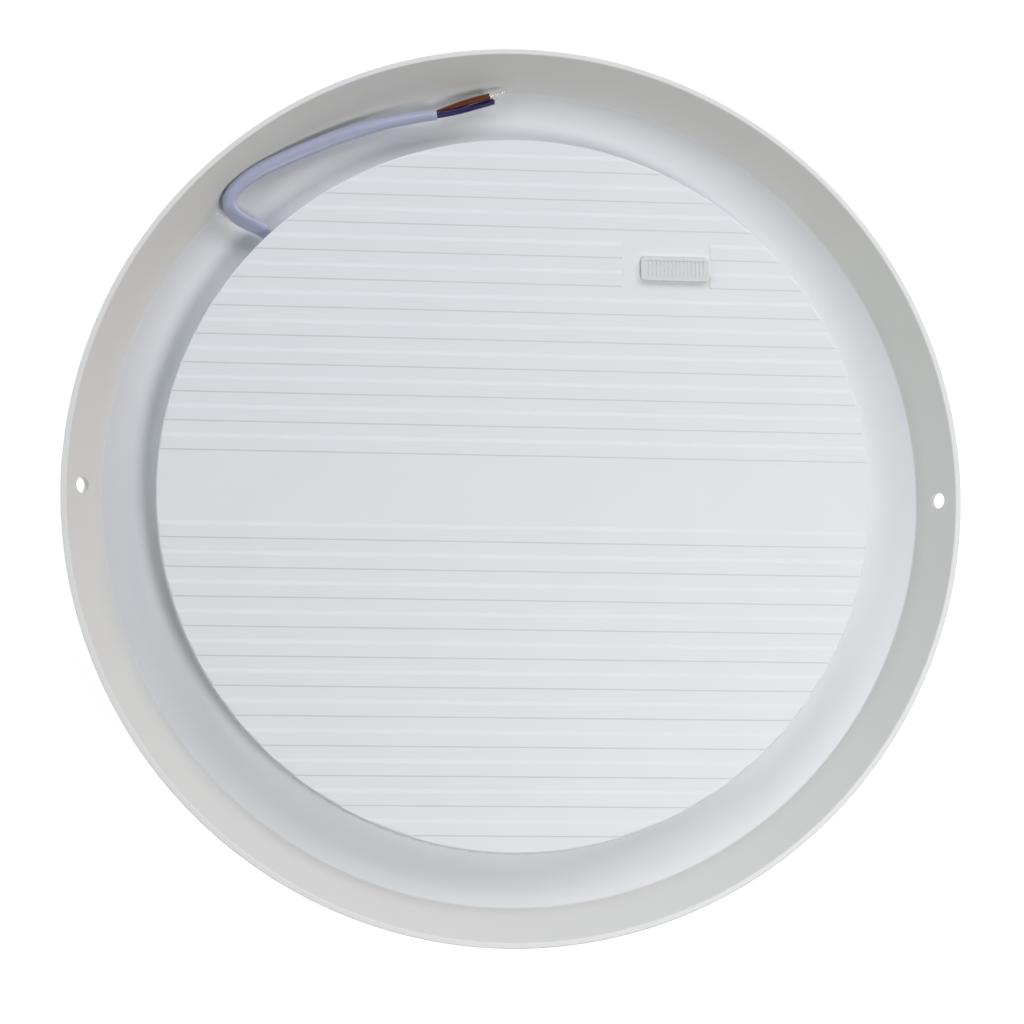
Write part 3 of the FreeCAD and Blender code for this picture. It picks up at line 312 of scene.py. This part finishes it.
def banded(name, dark, light, pitch, axis, roughness=0.35):
    """Wound or wrapped surface: rows of turns, each a small ridge, with painted shade in the
    grooves between them.
    """
    g = Graph(name)
    rows = g.bands(pitch, axis, distortion=0.6)
    # Painted shade: the grooves between the turns take the dark colour and the ridges the light
    # one.
    g.drive(g.blend(g.spread(rows, 0.0, 1.0, 0.2, 0.8), dark, light),
            g.spread(rows, roughness + 0.1, roughness, 0.0, 1.0), g.bump(rows, 0.12 * MM))


def sheath(name, colour, roughness=0.38, mottle=0.02, specular=0.5):
    """Extruded PVC: faint drag lines, a waxy skin, and light that goes a little way in."""
    g = Graph(name)
    skin = g.noise(0.8 * MM, detail=4.0, roughness=0.55)
    patches = g.noise(9 * MM, detail=2.0)
    fine = g.noise(0.16 * MM, detail=2.0)
    g.drive(mottled(g, patches, colour, mottle),
            g.spread(skin, roughness - 0.07, roughness + 0.09),
            g.bump(skin, 0.03 * MM, under=g.bump(fine, 0.008 * MM)))
    g.settle(Subsurface_Weight=0.15, Subsurface_Scale=1.2 * MM, Subsurface_Radius=(1.0, 0.9, 0.9),
             Specular_IOR_Level=specular)


HOUSING_WHITE = (0.80, 0.81, 0.83)
# Painted shade: shares of the drum face's colour for the trough, the skirt's slope and the lip.
TROUGH_PAINTED_SHADE = (0.94, 0.94, 0.94)
SLOPE_PAINTED_SHADE = (0.79, 0.77, 0.73)
LIP_PAINTED_SHADE = (1.0, 0.98, 0.95)

# One finish for each material slot. The numbers stand in the order of each function's head.
housing_plastic("housing_plastic", HOUSING_WHITE, TROUGH_PAINTED_SHADE, SLOPE_PAINTED_SHADE, LIP_PAINTED_SHADE)
moulded("knob_plastic", (0.72, 0.73, 0.73), 0.4, 0.2 * MM, 0.006 * MM, 0.01)
moulded("nylon_white", (0.84, 0.83, 0.79), 0.35, 0.5 * MM)
sheath("lead_pvc", (0.8, 0.8, 0.78))
moulded("fibre_sheet", (0.86, 0.84, 0.72), 0.5, 0.4 * MM, 0.02 * MM, 0.04, 5 * MM)
moulded("terminal_plastic", (0.72, 0.73, 0.75), 0.4, 0.25 * MM)
moulded("resistor_body", (0.55, 0.35, 0.22), 0.6, 0.3 * MM, 0.05 * MM, 0.08, MM)
moulded("varistor_epoxy", (0.03, 0.09, 0.34), 0.3, 0.6 * MM, 0.05 * MM, 0.05, 2 * MM)
moulded("film_case", (0.78, 0.6, 0.06), 0.35, 0.2 * MM)
moulded("chip_epoxy", (0.02, 0.02, 0.022), 0.55, 0.12 * MM, 0.01 * MM, 0.1, MM)
moulded("capacitor_sleeve", (0.012, 0.012, 0.03), 0.25, 0.9 * MM, 0.02 * MM, 0.1, 3 * MM)
moulded("ferrite", (0.045, 0.045, 0.05), 0.6, 0.15 * MM, 0.02 * MM, 0.15, MM)
moulded("bobbin_plastic", (0.02, 0.02, 0.02), 0.45, 0.3 * MM)
moulded("switch_base_plastic", (0.17, 0.07, 0.03), 0.5, 0.2 * MM)
moulded("slider_plastic", (0.015, 0.015, 0.015), 0.4, 0.25 * MM)
moulded("clamp_plastic", (0.78, 0.78, 0.76), 0.38, 0.4 * MM)
moulded("grommet_rubber", (0.72, 0.72, 0.71), 0.6, 0.25 * MM, 0.015 * MM)
opal("opal_plastic", (0.74, 0.74, 0.73))
foam("seal_foam", (0.7, 0.7, 0.69))
painted("gear_paint", (0.84, 0.84, 0.83))
painted("led_board_white", (0.88, 0.88, 0.86), 0.3)
led_package("warm_phosphor", (0.9, 0.42, 0.06))
led_package("cool_phosphor", (0.9, 0.75, 0.12))
circuit_board("circuit_board", (0.015, 0.07, 0.02), (0.04, 0.16, 0.05))
banded("winding_tape", (0.5, 0.33, 0.02), (0.85, 0.62, 0.06), 0.5 * MM, "X")
plated("screw_zinc", (0.62, 0.63, 0.65), 0.28)
plated("switch_can", (0.66, 0.67, 0.69), 0.32, (1.0, 8.0, 8.0), 0.5 * MM)
plated("contact_metal", (0.8, 0.66, 0.35), 0.22)
plated("copper", (0.90, 0.80, 0.66), 0.22, (1.0, 1.0, 1.0), 0.1 * MM)
sheath("cord_pvc", (0.40, 0.415, 0.55))
sheath("brown_pvc", (0.12, 0.030, 0.007), roughness=0.35, mottle=0.05, specular=0.2)
sheath("blue_pvc", (0.016, 0.012, 0.085), roughness=0.35, mottle=0.05, specular=0.25)


def dress_nodes():
    """Gives every CAD node the finish that its material slot names."""
    for row in frame["record"]["subparts"]:
        NODES[row["node"]].material_slots[0].material = MATERIALS[row["material_slot"]]


# ---------------------------------------------------------------- supply cord

# Control points of the cord's own line, in millimetres: out of the grommet, back round
# against the skirt, and along the trough to the stripped end.
CORD_ROUTE = [
    (-83.26, 85.02, 26.4),
    (-86.4, 87.4, 26.5),
    (-90.4, 88.9, 26.8),
    (-94.4, 90.8, 27.2),
    (-97.3, 94.2, 27.5),
    (-97.2, 98.0, 27.6),
    (-94.3, 101.9, 27.6),
    (-88.6, 106.5, 27.2),
    (-80.7, 110.8, 26.6),
    (-70.1, 115.9, 26.3),
    (-58.6, 120.8, 26.4),
    (-43.4, 125.6, 27.0),
    (-28.3, 128.1, 27.6),
]
# Control points of the two cores and their bare wires, in millimetres.
BROWN_ROUTE = [(-28.5, 128.62, 26.58), (-22.5, 131.12, 26.8), (-16.5, 133.32, 27.5),
               (-10.4, 135.0, 27.6)]
BLUE_ROUTE = [(-28.5, 127.54, 28.62), (-22.0, 128.97, 28.0), (-15.5, 131.47, 26.2),
              (-8.8, 133.7, 26.0)]
BROWN_STRANDS = [(-10.4, 135.0, 27.6), (-7.4, 136.2, 27.3), (-4.2, 137.7, 27.2)]
BLUE_STRANDS = [(-8.8, 133.7, 26.0), (-8.0, 134.2, 26.0), (-7.1, 134.8, 26.0)]

CORD_WIDTH = 5.4 * MM
CORD_THICKNESS = 3.5 * MM
SHEATH_WALL = 0.55 * MM
CORE_RADIUS = 1.05 * MM
# How far the flat section is rolled about the cord's line, in degrees from lying flat,
# at shares of the cord's length.
ROLLS = [(0.0, 56.0), (0.14, 48.0), (0.24, 40.0), (0.36, 24.0), (0.50, 16.0), (0.70, 24.0),
         (0.86, 50.0), (1.0, 62.0)]
SECTION_STEPS = 40
CORE_STEPS = 20
# The flat cord's section is an ellipse at 1, and squarer below it.
SECTION_POWER = 0.93
# The sheath's stripped end: how far back its edge is rounded, how deep its mouth goes, and
# how large the rounded edge is outside and inside.
SHEATH_ROUND_OFF = 0.18 * MM
SHEATH_MOUTH = 2 * MM
SHEATH_EDGE_OUTSIDE = 0.95
SHEATH_EDGE_INSIDE = 1.04
# How far a core goes on into the sheath, and the share of its radius it has there.
CORE_HIDDEN = 1.8 * MM
CORE_HIDDEN_SHARE = 0.97
# A core's cut end and the hollow in it: steps back from the end, with shares of the radius.
CORE_END = [(0.0, 0.96), (0.0, 0.6), (0.08 * MM, 0.52), (0.8 * MM, 0.5)]


def smooth_path(points, resolution=24):
    """Points along the NURBS spline that has the route as its control points."""
    data = bpy.data.curves.new("route", "CURVE")
    data.dimensions = "3D"
    data.resolution_u = resolution
    spline = data.splines.new("NURBS")
    spline.points.add(len(points) - 1)
    for control, place in zip(spline.points, points):
        control.co = (*(c * MM for c in place), 1.0)
    spline.order_u = 3
    spline.use_endpoint_u = True
    item = bpy.data.objects.new("route", data)
    mesh = bpy.data.meshes.new_from_object(item)
    path = [vertex.co.copy() for vertex in mesh.vertices]
    bpy.data.objects.remove(item)
    bpy.data.meshes.remove(mesh)
    return path


def lengths_along(path):
    total = [0.0]
    for start, end in zip(path, path[1:]):
        total.append(total[-1] + (end - start).length)
    return total


def frames_along(path):
    """At each point of a path: its direction, a level sideways direction and an upward one."""
    frames = []
    for index in range(len(path)):
        ahead = (path[min(index + 1, len(path) - 1)] - path[max(index - 1, 0)]).normalized()
        side = ahead.cross(Vector((0, 0, 1))).normalized()
        frames.append((ahead, side, side.cross(ahead)))
    return frames


def between(table, share):
    """Smooth value between the rows of a (share, value) table."""
    for (start, low), (end, high) in zip(table, table[1:]):
        if share <= end:
            t = (share - start) / (end - start)
            return low + (high - low) * t * t * (3 - 2 * t)
    return table[-1][1]


def circle(steps):
    angles = [2 * math.pi * i / steps for i in range(steps)]
    return [(math.cos(angle), math.sin(angle)) for angle in angles]


def flat_section(width, thickness, steps):
    """A flat cord's section: an ellipse that is squared a little."""
    points = []
    for step in range(steps):
        angle = 2 * math.pi * step / steps
        u = math.copysign(abs(math.cos(angle)) ** SECTION_POWER, math.cos(angle))
        v = math.copysign(abs(math.sin(angle)) ** SECTION_POWER, math.sin(angle))
        points.append((u * width / 2, v * thickness / 2))
    return points


def ring_of(place, side, up, section, roll, scale=1.0):
    """A section's points round a place on the path, rolled and scaled."""
    c, s = math.cos(roll), math.sin(roll)
    return [place + side * (u * c - v * s) * scale + up * (u * s + v * c) * scale
            for u, v in section]


def skin(bm, rings):
    """Joins rings of points into a tube that is closed at both ends."""
    loops = [[bm.verts.new(point) for point in ring] for ring in rings]
    for low, high in zip(loops, loops[1:]):
        for i in range(len(low)):
            j = (i + 1) % len(low)
            bm.faces.new((low[i], low[j], high[j], high[i]))
    bm.faces.new(reversed(loops[0]))
    bm.faces.new(loops[-1])


def finish_mesh(name, bm, slot, body=HOUSING):
    bmesh.ops.recalc_face_normals(bm, faces=bm.faces)
    for face in bm.faces:
        face.smooth = len(face.verts) == 4
    mesh = bpy.data.meshes.new(name)
    bm.to_mesh(mesh)
    bm.free()
    mesh.materials.append(MATERIALS[slot])
    piece = add_object(name, mesh)
    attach(piece, body)
    return piece


def make_sheath(path):
    """The flat cord's skin, rolled along its length, with an open stripped end."""
    total = lengths_along(path)
    frames = frames_along(path)
    outer = flat_section(CORD_WIDTH, CORD_THICKNESS, SECTION_STEPS)
    rings = []
    for place, run, (ahead, side, up) in zip(path, total, frames):
        roll = math.radians(between(ROLLS, run / total[-1]))
        rings.append(ring_of(place, side, up, outer, roll))
    end, (ahead, side, up) = path[-1], frames[-1]
    roll = math.radians(ROLLS[-1][1])
    inner = flat_section(CORD_WIDTH - 2 * SHEATH_WALL, CORD_THICKNESS - 2 * SHEATH_WALL,
                         SECTION_STEPS)
    rings[-1] = ring_of(end - ahead * SHEATH_ROUND_OFF, side, up, outer, roll)
    rings.append(ring_of(end, side, up, outer, roll, SHEATH_EDGE_OUTSIDE))
    rings.append(ring_of(end, side, up, inner, roll, SHEATH_EDGE_INSIDE))
    rings.append(ring_of(end - ahead * SHEATH_ROUND_OFF, side, up, inner, roll))
    rings.append(ring_of(end - ahead * SHEATH_MOUTH, side, up, inner, roll))
    bm = bmesh.new()
    skin(bm, rings)
    return finish_mesh("cord_sheath", bm, "cord_pvc")


def make_core(name, route, slot):
    """One insulated core, cut square at its end, with a hollow for the strands."""
    path = smooth_path(route)
    frames = frames_along(path)
    section = circle(CORE_STEPS)
    rings = [ring_of(place, side, up, section, 0.0, CORE_RADIUS)
             for place, (_, side, up) in zip(path, frames)]
    start, (ahead, side, up) = path[0], frames[0]
    rings.insert(0, ring_of(start - ahead * CORE_HIDDEN, side, up, section, 0.0,
                            CORE_RADIUS * CORE_HIDDEN_SHARE))
    end, (ahead, side, up) = path[-1], frames[-1]
    for back, share in CORE_END:
        rings.append(ring_of(end - ahead * back, side, up, section, 0.0, CORE_RADIUS * share))
    bm = bmesh.new()
    skin(bm, rings)
    return finish_mesh(name, bm, slot)


STRAND_RADIUS = 0.11 * MM
# Radius of each ring of wires, and how many stand in it.
BUNDLE_RINGS = [(0, 1), (0.24 * MM, 6)]
STRAND_SIDES = 8
# How far the wires go on into the core.
STRAND_HIDDEN = 0.7 * MM
# Shares of the route at which a wire may end, and of the flare that it may take.
STRAND_STOPS = (0.55, 1.0)
STRAND_LIFTS = (0.2, 1.0)
# A wire runs past its stop by at most this share of the route.
STRAND_STOP_MARGIN = 0.02
# How much closer together the wires lie at the far end, before they flare.
STRAND_TAPER = 0.15


def make_strands(name, route, flare, twist, seed):
    """A twisted bundle of fine bare wires that loosens towards its cut end."""
    rng = random.Random(seed)
    path = smooth_path(route, 10)
    total = lengths_along(path)
    frames = frames_along(path)
    section = circle(STRAND_SIDES)
    bm = bmesh.new()
    for radius, count in BUNDLE_RINGS:
        for number in range(count):
            first = 2 * math.pi * number / count
            stop = rng.uniform(*STRAND_STOPS)
            lift = rng.uniform(*STRAND_LIFTS) * flare
            rings = []
            for place, run, (ahead, side, up) in zip(path, total, frames):
                share = run / total[-1]
                if share > stop + STRAND_STOP_MARGIN:
                    break
                angle = first + twist * share
                reach = radius * (1.0 - STRAND_TAPER * share) + lift * share ** 2
                centre = place + side * math.cos(angle) * reach + up * math.sin(angle) * reach
                rings.append(ring_of(centre, side, up, section, 0.0, STRAND_RADIUS))
            start, (ahead, side, up) = path[0], frames[0]
            offset = side * math.cos(first) * radius + up * math.sin(first) * radius
            rings.insert(0, ring_of(start - ahead * STRAND_HIDDEN + offset, side, up, section, 0.0,
                                    STRAND_RADIUS))
            skin(bm, rings)
    return finish_mesh(name, bm, "copper")


def make_cord():
    path = smooth_path(CORD_ROUTE)
    cord = make_sheath(path)
    brown = make_core("cord_core_brown", BROWN_ROUTE, "brown_pvc")
    blue = make_core("cord_core_blue", BLUE_ROUTE, "blue_pvc")
    brown_wires = make_strands("cord_strands_brown", BROWN_STRANDS,
                               flare=0.25 * MM, twist=2.6, seed=4)
    blue_wires = make_strands("cord_strands_blue", BLUE_STRANDS,
                              flare=0.2 * MM, twist=2.2, seed=9)
    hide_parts("supply_cord")
    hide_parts("brown_core")
    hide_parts("blue_core")
    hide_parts("brown_strands")
    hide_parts("blue_strands")


# ---------------------------------------------------------------- stage

# The stage's profile in metres: flat ground that rises, far off, into a low wall.
STAGE = [(12.0, 0.0), (18.0, 0.3), (22.0, 1.5), (24.0, 5.2)]
GROUND_GLOW = 0.85
WALL_GLOW = 0.45
STAGE_TURNS = 64
# How far the ground lies under the part, so that the two don't share a surface.
GROUND_DROP = 0.2 * MM


def stage_paint(name, glow):
    g = Graph(name)
    g.settle(Base_Color=(0.3, 0.3, 0.3, 1.0), Roughness=1.0, Specular_IOR_Level=0.0,
             Emission_Color=(1.0, 1.0, 1.0, 1.0), Emission_Strength=glow)
    return g.material


def make_stage():
    """Plain white ground that the light lies on, with a plain pale wall all round, far off."""
    bm = bmesh.new()
    rings = [[bm.verts.new((radius * x, radius * y, height)) for x, y in circle(STAGE_TURNS)]
             for radius, height in STAGE]
    bm.faces.new(rings[0])
    for inner, outer in zip(rings, rings[1:]):
        for i in range(STAGE_TURNS):
            j = (i + 1) % STAGE_TURNS
            bm.faces.new((inner[i], outer[i], outer[j], inner[j])).material_index = 1
    mesh = bpy.data.meshes.new("stage")
    bm.to_mesh(mesh)
    bm.free()
    stage = add_object("stage", mesh)
    stage.location.z = -GROUND_DROP
    mesh.materials.append(stage_paint("ground", GROUND_GLOW))
    mesh.materials.append(stage_paint("wall", WALL_GLOW))


# Round lights that all face the origin: name, place in metres, power in watts, width in
# metres and colour.
LIGHTS = [
    ("upper right", (1.00, 1.00, 0.75), 10.1, 0.8, (1.0, 0.97, 0.94)),
    ("window above", (0.0, 1.41, 0.75), 7.9, 0.8, (0.81, 0.83, 1.0)),
    ("upper left", (-1.00, 1.00, 0.75), 3.7, 0.8, (0.90, 1.0, 0.91)),
    ("left", (-1.41, 0.0, 0.75), 5.7, 0.8, (0.92, 1.0, 1.0)),
    ("near", (0.30, -0.32, 0.70), 3.25, 0.3, (1.0, 1.0, 1.0)),
]
WORLD_COLOUR = (0.95, 0.97, 1.0)
WORLD_STRENGTH = 0.03


def make_lights():
    for name, place, power, size, colour in LIGHTS:
        data = bpy.data.lights.new(name, "AREA")
        data.shape = "DISK"
        data.size = size
        data.energy = power
        data.color = colour
        light = add_object(name, data)
        light.location = place
        light.rotation_euler = Vector(place).to_track_quat("Z", "Y").to_euler()
    world = bpy.data.worlds.new("studio")
    bpy.context.scene.world = world
    world.use_nodes = True
    background = world.node_tree.nodes["Background"]
    background.inputs["Color"].default_value = (*WORLD_COLOUR, 1.0)
    background.inputs["Strength"].default_value = WORLD_STRENGTH
    bpy.context.scene.view_settings.view_transform = "Standard"


make_camera()
dress_nodes()
make_cord()
make_stage()
make_lights()
